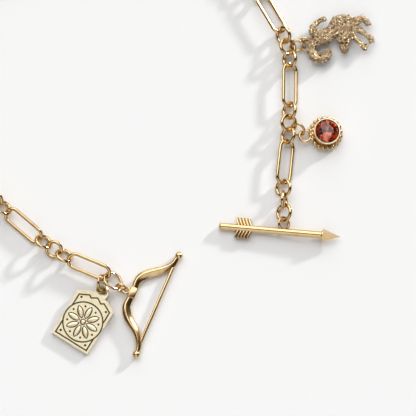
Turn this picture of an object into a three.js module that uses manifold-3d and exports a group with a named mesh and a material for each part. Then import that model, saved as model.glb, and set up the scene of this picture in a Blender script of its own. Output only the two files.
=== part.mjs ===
// A gold-plated toggle bracelet with an arrow bar, a bow catch and three charms, lying open on a table.
// Millimetres, +Z up. The table is the plane z = 0.

import * as THREE from 'three';
import { ConvexGeometry } from 'three/addons/geometries/ConvexGeometry.js';
import { mergeVertices } from 'three/addons/utils/BufferGeometryUtils.js';
import Module from 'manifold-3d';

const wasm = await Module();
wasm.setup();

// Facets of round shapes
const WIRE_SIDES = 6;
const LINK_SIDES = 14;
const SHAFT_SIDES = 16;
const STRING_SIDES = 8;
const CUP_SIDES = 24;
const BALL_SIDES = 12;
const BEAD_SIDES = 8;
const LUMP_SIDES = 7;
const LUMP_BANDS = 5;

// Chain
const LINK_WIRE = 0.66;
const ROUND_LENGTH = 4.3;
const LONG_LENGTH = 10.5;
const LONG_WIDTH = 4.1;
const CLEARANCE = 0.12;
const REPEATS = 11;
const ROUND_PER_REPEAT = 3;
const CHARM_REPEATS = 2;

// Lean of each kind of link about its own length, in degrees. Plus lifts the side towards the wrist.
const LONG_LEAN = 30;
const MIDDLE_LEAN = 28;
const SIDE_LEAN = -45;
const LEAD_LEANS = [-40, 74, -36];

// Jump rings
const JUMP_WIRE = 0.55;
const CHARM_RING_LENGTH = 3.8;
const PLATE_RING_LENGTH = 3.9;
const CLASP_RING_LENGTH = 4.7;
const CLASP_LINK_LENGTH = 2.7;
const CHARM_RING_LEAN = 58;
const CLASP_RING_LEAN = -38;
const CLASP_LINK_LEAN = 56;

// Arrow bar
const SHAFT_DIAMETER = 1.56;
const TAIL_REACH = 14.3;
const HEAD_START = 8.5;
const HEAD_LENGTH = 3.9;
const HEAD_DIAMETER = 3.0;
const COLLAR_LENGTH = 0.35;
const COLLAR_DIAMETER = 2.1;
const TAIL_CHAMFER = 0.3;
const VANE_SPAN = 2.25;
const VANE_START = 10.0;
const VANE_LENGTH = 3.3;
const VANE_SWEEP = 0.9;
const VANE_THICKNESS = 0.5;
const BARBS = 5;
const BARB_WIDTH = 0.5;
const BARB_RISE = 0.18;
const ARROW_LOOP_LENGTH = 3.3;
const ARROW_LOOP_LEAN = 35;
const ARROW_BEARING = -5.4;

// Bow catch
const BOW_REACH = 11.5;
const BOW_DEPTH = 6.0;
const BOW_THICKNESS = 1.5;
const LIMB_WIDTH = 1.95;
const BALL_DIAMETER = 1.75;
const STRING_DIAMETER = 0.7;
const STRING_LINE = 5.84;
const STRING_TOP = 8.6;
const STRING_BOTTOM = 9.3;
const GRIP_LENGTH = 2.5;
const GRIP_WIDTH = 1.6;
const GRIP_THICKNESS = 1.8;
const BOW_LOOP_LENGTH = 2.1;
const BOW_LOOP_WIRE = 0.5;
const BOW_LOOP_LEAN = -30;
const BOW_BEARING = 67;

// Plate charm
const PLATE_WIDTH = 9.2;
const PLATE_HEIGHT = 10.9;
const PLATE_THICKNESS = 1.0;
const GABLE_RISE = 1.2;
const GABLE_RUN = 2.3;
const LUG_RISE = 2.45;
const LUG_DIAMETER = 3.1;
const LUG_HOLE = 1.8;
const GROOVE_WIDTH = 0.22;
const GROOVE_DEPTH = 0.14;
const BORDER = 0.62;
const MEDALLION_DIAMETER = 8.2;
const PETALS = 8;
const PETAL_LENGTH = 2.5;
const PETAL_WIDTH = 1.25;
const PETAL_START = 0.25;
const PETAL_BELLY = 0.55;
const PETAL_RISE = 0.12;
const STUD_DIAMETER = 0.55;
const PLATE_HOOK_AROUND = -55;
const PLATE_HOOK_BEARING = -93;
const PLATE_BEARING = -122;
const PLATE_LIFT = 1.1;

// Crystal charm
const STONE_DIAMETER = 5.0;
const STONE_TABLE = 2.7;
const CROWN_RISE = 0.75;
const STAR_SHARE = 0.62;
const GIRDLE = 0.15;
const PAVILION_DEPTH = 1.9;
const LOWER_RING = { diameter: 2.2, depth: 1.14 };
const MAINS = 8;
const BEZEL_WALL = 0.32;
const BEZEL_TOP = 3.1;
const BASE_THICKNESS = 0.8;
const BEAD_DIAMETER = 0.86;
const BEAD_COUNT = 20;
const CRYSTAL_LOOP_LENGTH = 3.1;
const CRYSTAL_HOOK_BEARING = -38;
const CRYSTAL_BEARING = 8;
const CRYSTAL_LIFT = 0.75;

// Wolf charm
const WOLF_LENGTH = 15.6;
const WOLF_THICKNESS = 2.9;
const WOLF_LOOP_LENGTH = 2.4;
const WOLF_LOOP_WIRE = 0.5;
const WOLF_HOOK_BEARING = 0;
const WOLF_BEARING = 6;

// The chain's route on the table, from the arrow round the wrist side to the bow.
const ROUTE = [
  [16.6, -5.0],
  [16.7, 1.8],
  [16.5, 6.0],
  [17.5, 14.4],
  [17.9, 19.7],
  [18.1, 24.1],
  [18.2, 31.5],
  [17.8, 35.8],
  [16.3, 39.8],
  [12.5, 46.5],
  [7.1, 54.3],
  [-1.8, 60.0],
  [-13.3, 62.3],
  [-25.9, 61.3],
  [-38.1, 57.5],
  [-48.6, 50.4],
  [-55.8, 40.2],
  [-59.2, 28.7],
  [-58.3, 17.4],
  [-53.4, 7.7],
  [-45.8, 0.6],
  [-41.3, -3.4],
  [-36.8, -7.2],
  [-34.0, -9.2],
  [-31.3, -11.0],
  [-25.8, -13.5],
  [-21.4, -15.4],
  [-19.9, -17.5],
  [-18.0, -18.3],
];

const degrees = THREE.MathUtils.degToRad;
const gold = { color: 0xd8b778, metalness: 1, roughness: 0.22 };
const furGold = { color: 0xb99f6d, metalness: 1, roughness: 0.5 };

function material(values) {
  return new THREE.MeshStandardMaterial(values);
}

// Joining and cutting closed solids

const MERGE_WITHIN = 1e-5;

function toManifold(geometry) {
  const bare = geometry.clone();
  bare.deleteAttribute('normal');
  bare.deleteAttribute('uv');
  const merged = mergeVertices(bare, MERGE_WITHIN);
  const vertProperties = Float32Array.from(merged.attributes.position.array);
  const triVerts = Uint32Array.from(merged.index.array);
  return new wasm.Manifold(new wasm.Mesh({ numProp: 3, vertProperties, triVerts }));
}

function toGeometry(solid) {
  const mesh = solid.getMesh();
  const geometry = new THREE.BufferGeometry();
  geometry.setAttribute('position', new THREE.BufferAttribute(Float32Array.from(mesh.vertProperties), 3));
  geometry.setIndex(new THREE.BufferAttribute(Uint32Array.from(mesh.triVerts), 1));
  return geometry;
}

function joined(geometries) {
  return geometries.map(toManifold).reduce((whole, next) => whole.add(next));
}

// Links and rings: a round wire bent to a ring, pulled apart along x where the link is long.

function linkGeometry(shape) {
  const bend = (shape.width - shape.wire) / 2;
  const pull = (shape.length - shape.width) / 2;
  const geometry = new THREE.TorusGeometry(bend, shape.wire / 2, WIRE_SIDES, LINK_SIDES);
  const position = geometry.attributes.position;
  for (let i = 0; i < position.count; i += 1) {
    position.setX(i, position.getX(i) + Math.sign(position.getX(i)) * pull);
  }
  return geometry;
}

const SHAPES = {
  round: { length: ROUND_LENGTH, width: ROUND_LENGTH, wire: LINK_WIRE },
  long: { length: LONG_LENGTH, width: LONG_WIDTH, wire: LINK_WIRE },
  charmRing: { length: CHARM_RING_LENGTH, width: CHARM_RING_LENGTH, wire: JUMP_WIRE },
  plateRing: { length: PLATE_RING_LENGTH, width: PLATE_RING_LENGTH, wire: JUMP_WIRE },
  claspRing: { length: CLASP_RING_LENGTH, width: CLASP_RING_LENGTH, wire: JUMP_WIRE },
  claspLink: { length: CLASP_LINK_LENGTH, width: CLASP_LINK_LENGTH, wire: JUMP_WIRE },
  arrowLoop: { length: ARROW_LOOP_LENGTH, width: ARROW_LOOP_LENGTH, wire: JUMP_WIRE },
  bowLoop: { length: BOW_LOOP_LENGTH, width: BOW_LOOP_LENGTH, wire: BOW_LOOP_WIRE },
  crystalLoop: { length: CRYSTAL_LOOP_LENGTH, width: CRYSTAL_LOOP_LENGTH, wire: JUMP_WIRE },
  wolfLoop: { length: WOLF_LOOP_LENGTH, width: WOLF_LOOP_LENGTH, wire: WOLF_LOOP_WIRE },
};

// A link that leans by an angle rests on its lower side, or higher by its lift.
function leaning(name, kind, lean, lift = 0) {
  const shape = SHAPES[kind];
  const bend = (shape.width - shape.wire) / 2;
  const tilt = degrees(lean);
  const height = bend * Math.abs(Math.sin(tilt)) + shape.wire / 2 + lift;
  return { name, kind, bend, tilt, height, wire: shape.wire, span: shape.length - shape.wire };
}

// Two hooked wires cross where the planes of their links meet, a little off each link's own length. There
// each has fallen back by its bend, so the ends overlap by that much and by the wires and the clearance.
function overlap(a, b) {
  const turn = Math.sin(b.tilt - a.tilt);
  const slopeA = Math.asin(((a.height - b.height) * Math.cos(b.tilt)) / turn / a.bend);
  const slopeB = Math.asin(((a.height - b.height) * Math.cos(a.tilt)) / turn / b.bend);
  const fallen = a.bend * (1 - Math.cos(slopeA)) + b.bend * (1 - Math.cos(slopeB));
  const alongA = new THREE.Vector3(-Math.tan(slopeA), Math.cos(a.tilt), Math.sin(a.tilt));
  const alongB = new THREE.Vector3(Math.tan(slopeB), Math.cos(b.tilt), Math.sin(b.tilt));
  const across = alongA.cross(alongB).normalize();
  return fallen + ((a.wire + b.wire) / 2 + CLEARANCE) / Math.abs(across.x);
}

// The links in their order. A link that carries a charm lies on the charm's ring.

const CHARM_LIFT = JUMP_WIRE + CLEARANCE;

function chainLinks() {
  const links = [leaning('arrow', 'arrowLoop', ARROW_LOOP_LEAN)];
  LEAD_LEANS.forEach((lean, i) => links.push(leaning(`lead_ring_${i + 1}`, 'round', lean)));
  for (let repeat = 1; repeat <= REPEATS + 1; repeat += 1) {
    links.push(leaning(`long_link_${repeat}`, 'long', LONG_LEAN, repeat > REPEATS ? CHARM_LIFT : 0));
    for (let place = 1; place <= ROUND_PER_REPEAT && repeat <= REPEATS; place += 1) {
      const middle = place === (ROUND_PER_REPEAT + 1) / 2;
      const lift = middle && repeat <= CHARM_REPEATS ? CHARM_LIFT : 0;
      links.push(leaning(`round_link_${repeat}_${place}`, 'round', middle ? MIDDLE_LEAN : SIDE_LEAN, lift));
    }
  }
  links.push(leaning('clasp_ring', 'claspRing', CLASP_RING_LEAN));
  links.push(leaning('clasp_link', 'claspLink', CLASP_LINK_LEAN));
  links.push(leaning('bow', 'bowLoop', BOW_LOOP_LEAN, (BOW_THICKNESS - BOW_LOOP_WIRE) / 2));
  return links;
}

// Walking the route by chords, straight on past its last point

const route = new THREE.CatmullRomCurve3(ROUTE.map(([x, y]) => new THREE.Vector3(x, y, 0)), false, 'centripetal');
route.arcLengthDivisions = 2000;
const CHORD_PASSES = 8;
const routeLength = route.getLength();
const routeEnd = route.getPointAt(1);
const routeHeading = route.getTangentAt(1);

function onRoute(distance) {
  if (distance <= routeLength) {
    return route.getPointAt(distance / routeLength);
  }
  return routeEnd.clone().addScaledVector(routeHeading, distance - routeLength);
}

function chordFrom(distance, chord) {
  const start = onRoute(distance);
  let next = distance + chord;
  for (let pass = 0; pass < CHORD_PASSES; pass += 1) {
    next += chord - start.distanceTo(onRoute(next));
  }
  return next;
}

// Each link lies between two joints of the route, its middle halfway between them.
function laidChain() {
  const links = chainLinks();
  let travelled = 0;
  links.forEach((link, i) => {
    const before = i > 0 ? overlap(links[i - 1], link) : 0;
    const after = i < links.length - 1 ? overlap(link, links[i + 1]) : 0;
    const from = onRoute(travelled);
    travelled = chordFrom(travelled, link.span - before / 2 - after / 2);
    const to = onRoute(travelled);
    link.yaw = Math.atan2(to.y - from.y, to.x - from.x);
    link.middle = from.clone().add(to).multiplyScalar(0.5);
    link.middle.x += ((after - before) / 4) * Math.cos(link.yaw);
    link.middle.y += ((after - before) / 4) * Math.sin(link.yaw);
    link.middle.z = link.height;
  });
  return links;
}

function placed(mesh, middle, yaw, tilt) {
  mesh.position.copy(middle);
  mesh.rotation.set(tilt, 0, yaw, 'ZYX');
  return mesh;
}

function linkMesh(link) {
  const mesh = new THREE.Mesh(linkGeometry(SHAPES[link.kind]), material(gold));
  mesh.name = link.name;
  return placed(mesh, link.middle, link.yaw, link.tilt);
}

// Where a leaning ring's wire is at a given height: how far sideways and along from the ring's middle, and
// how far apart a level wire that crosses it there has to stay.
function wireAt(ring, height, levelWire) {
  const off = (height - ring.height) / Math.sin(ring.tilt);
  const slope = Math.asin(off / ring.bend);
  const share = Math.abs(Math.sin(ring.tilt)) / Math.hypot(Math.sin(ring.tilt), Math.tan(slope));
  const apart = ((ring.wire + levelWire) / 2 + CLEARANCE) / share;
  return { sideways: off * Math.cos(ring.tilt), along: ring.bend * Math.cos(slope) - apart };
}

function fromBearing(bearing, along, sideways) {
  const x = along * Math.cos(bearing) - sideways * Math.sin(bearing);
  const y = along * Math.sin(bearing) + sideways * Math.cos(bearing);
  return new THREE.Vector3(x, y, 0);
}

// A ring hooked over a link's side, where the link's wire runs about level across the ring's length. It
// slides along its own wire until that is at the link's height.
function hookedRing(name, kind, lean, host, around, bearing) {
  const ring = leaning(name, kind, lean);
  const pull = (SHAPES[host.kind].length - SHAPES[host.kind].width) / 2;
  const local = new THREE.Vector3(Math.cos(around) * host.bend + pull, Math.sin(around) * host.bend, 0);
  const spot = local.applyEuler(new THREE.Euler(host.tilt, 0, host.yaw, 'ZYX')).add(host.middle);
  const at = wireAt(ring, spot.z, host.wire);
  ring.yaw = bearing;
  ring.middle = spot.add(fromBearing(bearing, at.along, -at.sideways));
  ring.middle.z = ring.height;
  return ring;
}

// The middle of a charm's level loop, which has slid down the far side of its ring
function loopBeyond(ring, loop, bearing) {
  const at = wireAt(ring, loop.height, loop.wire);
  const middle = ring.middle.clone().add(fromBearing(bearing, at.along + loop.bend, at.sideways));
  middle.z = loop.height;
  return middle;
}

// Arrow bar. Its own frame has the loop's middle at the origin and the shaft along x, south of the loop. It
// lies on its tail end and its head.

function arrowShaft() {
  const r = SHAFT_DIAMETER / 2;
  const profile = [
    new THREE.Vector2(0, -TAIL_REACH),
    new THREE.Vector2(r - TAIL_CHAMFER, -TAIL_REACH),
    new THREE.Vector2(r, -TAIL_REACH + TAIL_CHAMFER),
    new THREE.Vector2(r, HEAD_START - COLLAR_LENGTH),
    new THREE.Vector2(COLLAR_DIAMETER / 2, HEAD_START - COLLAR_LENGTH),
    new THREE.Vector2(COLLAR_DIAMETER / 2, HEAD_START + COLLAR_LENGTH),
    new THREE.Vector2(0, HEAD_START + COLLAR_LENGTH),
  ];
  return new THREE.LatheGeometry(profile, SHAFT_SIDES).rotateZ(-Math.PI / 2);
}

// A four-sided point, with edges up, down and to both sides
function arrowHead() {
  const geometry = new THREE.ConeGeometry(HEAD_DIAMETER / 2, HEAD_LENGTH, 4);
  return geometry.rotateZ(-Math.PI / 2).translate(HEAD_START + HEAD_LENGTH / 2, 0, 0);
}

function sweptBar(start, length, thickness, side) {
  const outline = new THREE.Shape([
    new THREE.Vector2(start, 0),
    new THREE.Vector2(start + length, 0),
    new THREE.Vector2(start + length - VANE_SWEEP, VANE_SPAN),
    new THREE.Vector2(start - VANE_SWEEP, VANE_SPAN),
  ]);
  const geometry = new THREE.ExtrudeGeometry(outline, { depth: thickness, bevelEnabled: false });
  geometry.translate(0, 0, -thickness / 2);
  return side > 0 ? geometry : geometry.rotateX(Math.PI);
}

function arrowVanes() {
  const bars = [];
  const step = (VANE_LENGTH - BARB_WIDTH) / (BARBS - 1);
  for (const side of [1, -1]) {
    bars.push(sweptBar(-VANE_START, VANE_LENGTH, VANE_THICKNESS, side));
    for (let barb = 0; barb < BARBS; barb += 1) {
      const start = -VANE_START + barb * step;
      bars.push(sweptBar(start, BARB_WIDTH, VANE_THICKNESS + 2 * BARB_RISE, side));
    }
  }
  return bars;
}

function arrowMesh(link) {
  const offset = link.bend + SHAFT_DIAMETER / 2 - JUMP_WIRE / 2;
  const slope = Math.asin((HEAD_DIAMETER - SHAFT_DIAMETER) / 2 / (TAIL_REACH + HEAD_START));
  const rise = SHAFT_DIAMETER / 2 + TAIL_REACH * Math.sin(slope) - link.height;
  const loop = toManifold(linkGeometry(SHAPES.arrowLoop).rotateZ(Math.PI / 2).rotateY(link.tilt));
  const parts = [arrowShaft(), arrowHead(), ...arrowVanes()];
  const turned = parts.map((part) => part.rotateY(-slope).rotateZ(degrees(ARROW_BEARING)).translate(0, -offset, rise));
  const mesh = new THREE.Mesh(toGeometry(joined(turned).add(loop)), material(gold));
  mesh.name = 'arrow';
  mesh.position.copy(link.middle);
  return mesh;
}

// Bow catch. Its own frame has the grip's middle at the origin, the string's direction along x and the
// front of the bow along +y. The limbs' sections are shares of the bow's reach, depth and width.

const UPPER_LIMB = [
  { up: 0.06, back: 0.0, width: 0.8 },
  { up: 0.23, back: -0.02, width: 0.85 },
  { up: 0.34, back: 0.05, width: 1.0 },
  { up: 0.45, back: 0.24, width: 1.0 },
  { up: 0.56, back: 0.51, width: 0.95 },
  { up: 0.68, back: 0.77, width: 0.85 },
  { up: 0.82, back: 0.94, width: 0.75 },
  { up: 1.0, back: 1.0, width: 0.6 },
];
const LOWER_LIMB = [
  { up: -0.06, back: 0.0, width: 0.8 },
  { up: -0.24, back: -0.03, width: 0.9 },
  { up: -0.35, back: 0.04, width: 1.0 },
  { up: -0.46, back: 0.19, width: 1.0 },
  { up: -0.55, back: 0.4, width: 0.95 },
  { up: -0.65, back: 0.66, width: 0.85 },
  { up: -0.78, back: 0.87, width: 0.75 },
  { up: -0.92, back: 0.99, width: 0.65 },
  { up: -1.05, back: 1.0, width: 0.55 },
];

// A limb's section, as shares of its half width and half thickness, with a ridge along its top
const LIMB_CORNERS = [
  { across: 1, rise: -0.5 },
  { across: 1, rise: 0.35 },
  { across: 0.35, rise: 1 },
  { across: -1, rise: 0.35 },
  { across: -1, rise: -0.5 },
  { across: 0, rise: -1 },
];

function limbGeometry(sections) {
  const middles = sections.map((s) => new THREE.Vector3(s.up * BOW_REACH, -s.back * BOW_DEPTH, 0));
  const curve = new THREE.CatmullRomCurve3(middles);
  const steps = 2 * (sections.length - 1);
  const half = BOW_THICKNESS / 2;
  const points = [];
  for (let i = 0; i <= steps; i += 1) {
    const at = curve.getPoint(i / steps);
    const along = curve.getTangent(i / steps);
    const side = new THREE.Vector3(-along.y, along.x, 0);
    const from = sections[Math.floor(i / 2)];
    const to = sections[Math.ceil(i / 2)];
    const width = ((from.width + to.width) / 2) * LIMB_WIDTH;
    for (const { across, rise } of LIMB_CORNERS) {
      points.push(at.x + (side.x * across * width) / 2, at.y + (side.y * across * width) / 2, rise * half);
    }
  }
  const index = [];
  const n = LIMB_CORNERS.length;
  for (let i = 0; i < steps; i += 1) {
    for (let k = 0; k < n; k += 1) {
      const a = i * n + k;
      const b = i * n + ((k + 1) % n);
      index.push(a, b, a + n, b, b + n, a + n);
    }
  }
  for (let k = 1; k < n - 1; k += 1) {
    index.push(0, k + 1, k);
    index.push(steps * n, steps * n + k, steps * n + k + 1);
  }
  const geometry = new THREE.BufferGeometry();
  geometry.setAttribute('position', new THREE.Float32BufferAttribute(points, 3));
  geometry.setIndex(index);
  return outward(geometry);
}

// Turns a closed geometry the right way out where its faces were wound inwards
function outward(geometry) {
  const position = geometry.attributes.position;
  const index = geometry.index;
  const [a, b, c] = [new THREE.Vector3(), new THREE.Vector3(), new THREE.Vector3()];
  let volume = 0;
  for (let i = 0; i < index.count; i += 3) {
    a.fromBufferAttribute(position, index.getX(i));
    b.fromBufferAttribute(position, index.getX(i + 1));
    c.fromBufferAttribute(position, index.getX(i + 2));
    volume += a.dot(b.cross(c));
  }
  for (let i = 0; volume < 0 && i < index.count; i += 3) {
    const first = index.getX(i);
    index.setX(i, index.getX(i + 1));
    index.setX(i + 1, first);
  }
  return geometry;
}

function bowString() {
  const length = STRING_TOP + STRING_BOTTOM;
  const rod = new THREE.CylinderGeometry(STRING_DIAMETER / 2, STRING_DIAMETER / 2, length, STRING_SIDES);
  return rod.rotateZ(-Math.PI / 2).translate((STRING_TOP - STRING_BOTTOM) / 2, -STRING_LINE, 0);
}

function bowMesh(link) {
  const upperEnd = UPPER_LIMB[UPPER_LIMB.length - 1];
  const lowerEnd = LOWER_LIMB[LOWER_LIMB.length - 1];
  const balls = [upperEnd, lowerEnd].map((end) =>
    new THREE.SphereGeometry(BALL_DIAMETER / 2, BALL_SIDES, (BALL_SIDES * 2) / 3).translate(end.up * BOW_REACH, -end.back * BOW_DEPTH, 0),
  );
  const grip = new THREE.BoxGeometry(GRIP_LENGTH, GRIP_WIDTH, GRIP_THICKNESS);
  const parts = [limbGeometry(UPPER_LIMB), limbGeometry(LOWER_LIMB), grip, bowString(), ...balls];
  const toLoop = GRIP_WIDTH / 2 + link.bend;
  const turned = parts.map((part) => part.translate(0, -toLoop, 0).rotateZ(degrees(BOW_BEARING)));
  const axis = new THREE.Vector3(Math.cos(link.yaw), Math.sin(link.yaw), 0);
  const rise = bowRestHeight() - link.height;
  turned.forEach((part) => part.translate(0, 0, rise));
  const loop = linkGeometry(SHAPES.bowLoop).rotateZ(link.yaw).applyMatrix4(
    new THREE.Matrix4().makeRotationAxis(axis, link.tilt),
  );
  const mesh = new THREE.Mesh(toGeometry(joined([...turned, loop])), material(gold));
  mesh.name = 'bow';
  mesh.position.copy(link.middle);
  return mesh;
}

function bowRestHeight() {
  return Math.max(GRIP_THICKNESS, BALL_DIAMETER, BOW_THICKNESS) / 2;
}

// Plate charm. Its own frame has the lug's hole at the origin and the plate hanging along +x.

function plateOutline(inset) {
  const half = PLATE_WIDTH / 2 - inset;
  const shoulder = LUG_RISE + inset;
  const bottom = LUG_RISE + PLATE_HEIGHT - inset;
  const ridge = shoulder - GABLE_RISE;
  return new THREE.Shape([
    new THREE.Vector2(bottom, -half),
    new THREE.Vector2(bottom, half),
    new THREE.Vector2(shoulder, half),
    new THREE.Vector2(ridge, half - GABLE_RUN),
    new THREE.Vector2(ridge, GABLE_RUN - half),
    new THREE.Vector2(shoulder, -half),
  ]);
}

function slab(shape, bottom, top) {
  const geometry = new THREE.ExtrudeGeometry(shape, { depth: top - bottom, bevelEnabled: false, curveSegments: CUP_SIDES / 2 });
  return geometry.translate(0, 0, bottom);
}

function discShape(x, y, diameter) {
  const shape = new THREE.Shape();
  shape.absarc(x, y, diameter / 2, 0, 2 * Math.PI);
  return shape;
}

function petalShape(centre, turn) {
  const shape = new THREE.Shape();
  const along = new THREE.Vector2(Math.cos(turn), Math.sin(turn));
  const side = new THREE.Vector2(-along.y, along.x);
  const root = new THREE.Vector2(centre, 0).addScaledVector(along, PETAL_LENGTH * PETAL_START);
  const tip = root.clone().addScaledVector(along, PETAL_LENGTH);
  const belly = root.clone().addScaledVector(along, PETAL_LENGTH * PETAL_BELLY);
  const left = belly.clone().addScaledVector(side, PETAL_WIDTH / 2);
  const right = belly.clone().addScaledVector(side, -PETAL_WIDTH / 2);
  shape.moveTo(root.x, root.y);
  shape.lineTo(right.x, right.y);
  shape.lineTo(tip.x, tip.y);
  shape.lineTo(left.x, left.y);
  return shape;
}

function plateSolid() {
  const top = PLATE_THICKNESS;
  const middle = LUG_RISE + (PLATE_HEIGHT - GABLE_RISE) / 2;
  const floor = top - GROOVE_DEPTH;
  const over = top + GROOVE_DEPTH;
  const lug = toManifold(slab(discShape(0, 0, LUG_DIAMETER), 0, top));
  const neck = new THREE.Shape([
    new THREE.Vector2(0, -LUG_DIAMETER / 2),
    new THREE.Vector2(LUG_RISE, -LUG_DIAMETER / 2),
    new THREE.Vector2(LUG_RISE, LUG_DIAMETER / 2),
    new THREE.Vector2(0, LUG_DIAMETER / 2),
  ]);
  const hole = toManifold(slab(discShape(0, 0, LUG_HOLE), -top, 2 * top));
  const body = toManifold(slab(plateOutline(0), 0, top)).add(lug).add(toManifold(slab(neck, 0, top)));
  const frameLine = plateOutline(BORDER);
  frameLine.holes.push(plateOutline(BORDER + GROOVE_WIDTH));
  const circleLine = discShape(middle, 0, MEDALLION_DIAMETER + 2 * GROOVE_WIDTH);
  circleLine.holes.push(discShape(middle, 0, MEDALLION_DIAMETER));
  const lines = toManifold(slab(frameLine, floor, over)).add(toManifold(slab(circleLine, floor, over)));
  let solid = body.subtract(hole).subtract(lines);
  const rise = top + PETAL_RISE;
  for (let petal = 0; petal < PETALS; petal += 1) {
    const shape = petalShape(middle, (petal * 2 * Math.PI) / PETALS);
    solid = solid.add(toManifold(slab(shape, floor, rise)));
  }
  for (const x of [LUG_RISE, LUG_RISE + PLATE_HEIGHT - 2 * BORDER - 2 * STUD_DIAMETER]) {
    for (const side of [-1, 1]) {
      const y = side * (PLATE_WIDTH / 2 - 2 * BORDER - STUD_DIAMETER / 2);
      solid = solid.add(toManifold(slab(discShape(x + BORDER + STUD_DIAMETER, y, STUD_DIAMETER), floor, rise)));
    }
  }
  return solid;
}

// Crystal charm. Its own frame has the loop at the origin and the stone along +x, with z = 0 at its base.

const BASE_DIAMETER = STONE_DIAMETER + 2 * CLEARANCE + 2 * BEZEL_WALL;
const BEAD_CIRCLE = BASE_DIAMETER / 2 + BEAD_DIAMETER / 2;
const STONE_REACH = BEAD_CIRCLE + (CRYSTAL_LOOP_LENGTH - JUMP_WIRE) / 2;
const GIRDLE_HEIGHT = BEZEL_TOP - GIRDLE;

function crystalSolid() {
  const bore = STONE_DIAMETER / 2 + CLEARANCE;
  const outer = BASE_DIAMETER / 2;
  const depth = GIRDLE_HEIGHT - PAVILION_DEPTH - 2 * CLEARANCE;
  const cup = new THREE.LatheGeometry(
    [
      new THREE.Vector2(0, 0),
      new THREE.Vector2(outer, 0),
      new THREE.Vector2(outer, BEZEL_TOP),
      new THREE.Vector2(bore, BEZEL_TOP),
      new THREE.Vector2(bore, GIRDLE_HEIGHT - CLEARANCE),
      new THREE.Vector2(0, depth),
    ],
    CUP_SIDES,
  ).rotateX(Math.PI / 2);
  const rim = new THREE.CylinderGeometry(BEAD_CIRCLE, BEAD_CIRCLE, BASE_THICKNESS, CUP_SIDES).rotateX(Math.PI / 2);
  const parts = [cup, rim.translate(0, 0, BASE_THICKNESS / 2)];
  for (let bead = 0; bead < BEAD_COUNT; bead += 1) {
    const turn = (bead * 2 * Math.PI) / BEAD_COUNT;
    const ball = new THREE.SphereGeometry(BEAD_DIAMETER / 2, BEAD_SIDES, BEAD_SIDES / 2);
    ball.translate(Math.cos(turn) * BEAD_CIRCLE, Math.sin(turn) * BEAD_CIRCLE, BEAD_DIAMETER / 2);
    parts.push(ball);
  }
  parts.forEach((part) => part.translate(STONE_REACH, 0, 0));
  parts.push(linkGeometry(SHAPES.crystalLoop).translate(0, 0, BASE_THICKNESS - JUMP_WIRE / 2));
  return joined(parts);
}

// A brilliant: table and star corners, a round girdle, the points of the back and the culet
function stoneGeometry() {
  const points = [new THREE.Vector3(0, 0, -PAVILION_DEPTH)];
  const ringOf = (count, radius, z, shift) => {
    for (let i = 0; i < count; i += 1) {
      const turn = ((i + shift) * 2 * Math.PI) / count;
      points.push(new THREE.Vector3(Math.cos(turn) * radius, Math.sin(turn) * radius, z));
    }
  };
  ringOf(MAINS, STONE_TABLE / 2, GIRDLE + CROWN_RISE, 0.5);
  ringOf(MAINS, (STONE_TABLE + STONE_DIAMETER) / 4, GIRDLE + CROWN_RISE * STAR_SHARE, 0);
  ringOf(2 * MAINS, STONE_DIAMETER / 2, GIRDLE, 0);
  ringOf(2 * MAINS, STONE_DIAMETER / 2, 0, 0);
  ringOf(MAINS, LOWER_RING.diameter / 2, -LOWER_RING.depth, 0.5);
  return new ConvexGeometry(points);
}

// Wolf charm. Its own frame has the loop at the origin. Each limb runs through round sections that are
// shares of the wolf's length: its place (x, y) and its radius.

const WOLF_LIMBS = {
  body: [
    { x: 0.25, y: 0.1, radius: 0.11 },
    { x: 0.38, y: 0.15, radius: 0.09 },
    { x: 0.51, y: 0.27, radius: 0.135 },
    { x: 0.62, y: 0.26, radius: 0.12 },
  ],
  neck: [
    { x: 0.6, y: 0.24, radius: 0.115 },
    { x: 0.56, y: 0.09, radius: 0.085 },
    { x: 0.55, y: 0.0, radius: 0.07 },
    { x: 0.545, y: -0.115, radius: 0.035 },
  ],
  nearEar: [
    { x: 0.5, y: 0.05, radius: 0.035 },
    { x: 0.445, y: 0.035, radius: 0.012 },
  ],
  farEar: [
    { x: 0.6, y: 0.03, radius: 0.035 },
    { x: 0.655, y: 0.0, radius: 0.012 },
  ],
  tail: [
    { x: 0.2, y: 0.06, radius: 0.06 },
    { x: 0.09, y: 0.02, radius: 0.05 },
    { x: 0.055, y: -0.08, radius: 0.052 },
    { x: 0.11, y: -0.185, radius: 0.06 },
    { x: 0.21, y: -0.215, radius: 0.058 },
    { x: 0.3, y: -0.18, radius: 0.05 },
    { x: 0.35, y: -0.1, radius: 0.025 },
  ],
  nearHindLeg: [
    { x: 0.22, y: 0.08, radius: 0.08 },
    { x: 0.12, y: 0.07, radius: 0.045 },
    { x: 0.03, y: 0.1, radius: 0.032 },
    { x: -0.05, y: 0.115, radius: 0.036 },
  ],
  farHindLeg: [
    { x: 0.22, y: 0.13, radius: 0.09 },
    { x: 0.11, y: 0.2, radius: 0.045 },
    { x: 0.12, y: 0.28, radius: 0.036 },
    { x: 0.21, y: 0.34, radius: 0.03 },
    { x: 0.31, y: 0.375, radius: 0.032 },
  ],
  farForeleg: [
    { x: 0.66, y: 0.25, radius: 0.09 },
    { x: 0.75, y: 0.29, radius: 0.055 },
    { x: 0.84, y: 0.32, radius: 0.04 },
    { x: 0.9, y: 0.275, radius: 0.038 },
  ],
  nearForeleg: [
    { x: 0.67, y: 0.21, radius: 0.09 },
    { x: 0.78, y: 0.16, radius: 0.05 },
    { x: 0.86, y: 0.09, radius: 0.036 },
    { x: 0.94, y: 0.005, radius: 0.038 },
  ],
  liftedForeleg: [
    { x: 0.63, y: 0.15, radius: 0.07 },
    { x: 0.7, y: 0.05, radius: 0.036 },
    { x: 0.78, y: -0.05, radius: 0.03 },
    { x: 0.85, y: -0.085, radius: 0.032 },
  ],
};

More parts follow.
